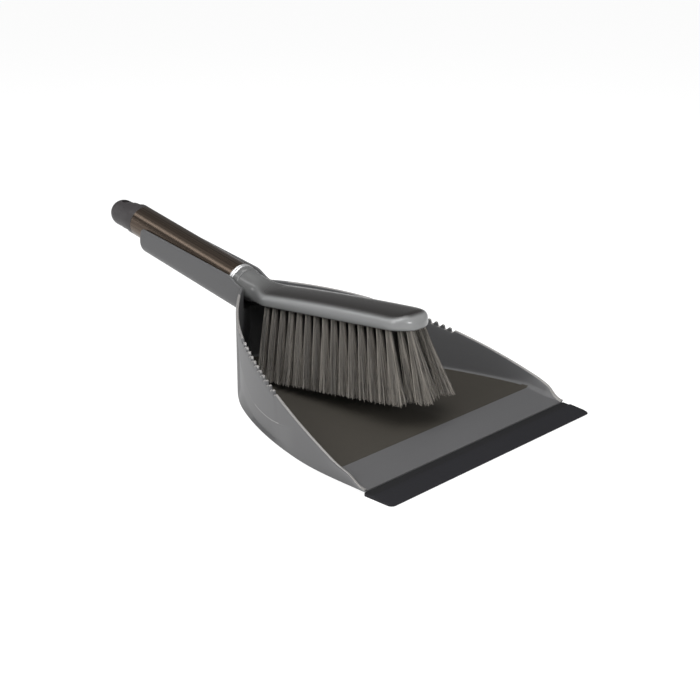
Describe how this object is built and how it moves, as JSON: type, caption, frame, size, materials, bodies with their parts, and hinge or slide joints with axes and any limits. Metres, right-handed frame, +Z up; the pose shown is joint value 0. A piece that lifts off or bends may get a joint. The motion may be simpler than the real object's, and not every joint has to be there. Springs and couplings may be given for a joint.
{
  "type": "dust pan and brush set",
  "caption": "Open dust pan with a channel handle and rubber lip, and a hand brush with a round steel handle that lies in the channel and lifts out.",
  "frame": {"origin": "on the floor plane, halfway between the lip's front edge and the tip of the brush handle, on the plane of symmetry", "axes": "+X points out over the lip, +Z points up, Y runs across the pan"},
  "size_m": [0.408, 0.2116, 0.1078],
  "materials": {
    "pan_plastic": "moulded grey polypropylene with a fine metallic fleck, satin",
    "lip_rubber": "matt black rubber",
    "stock_plastic": "moulded grey polypropylene, semi-gloss",
    "trim_chrome": "bright plated ring",
    "tinted_steel": "dark tinted steel tube, polished lengthwise",
    "cap_plastic": "dark grey moulded plastic, satin",
    "staple_steel": "drawn wire",
    "bristle": "grey-brown polyester filament"
  },
  "bodies": {
    "pan": {"pan_body": "pan_plastic", "lip_rubber": "lip_rubber"},
    "brush": {"brush_stock": "stock_plastic", "trim_ring": "trim_chrome", "handle_tube": "tinted_steel", "end_cap": "cap_plastic", "staples": "staple_steel", "tufts_01": "bristle", "tufts_02": "bristle", "tufts_03": "bristle", "tufts_04": "bristle", "tufts_05": "bristle", "tufts_06": "bristle", "tufts_07": "bristle", "tufts_08": "bristle", "tufts_09": "bristle", "tufts_10": "bristle", "tufts_11": "bristle", "tufts_12": "bristle", "tufts_13": "bristle", "tufts_14": "bristle", "tufts_15": "bristle", "tufts_16": "bristle", "tufts_17": "bristle"}
  },
  "joints": [
    {"name": "brush_lift", "type": "slide", "parent": "pan", "child": "brush", "axis": [0, 0, 1], "range_m": [0, 0.15]}
  ]
}
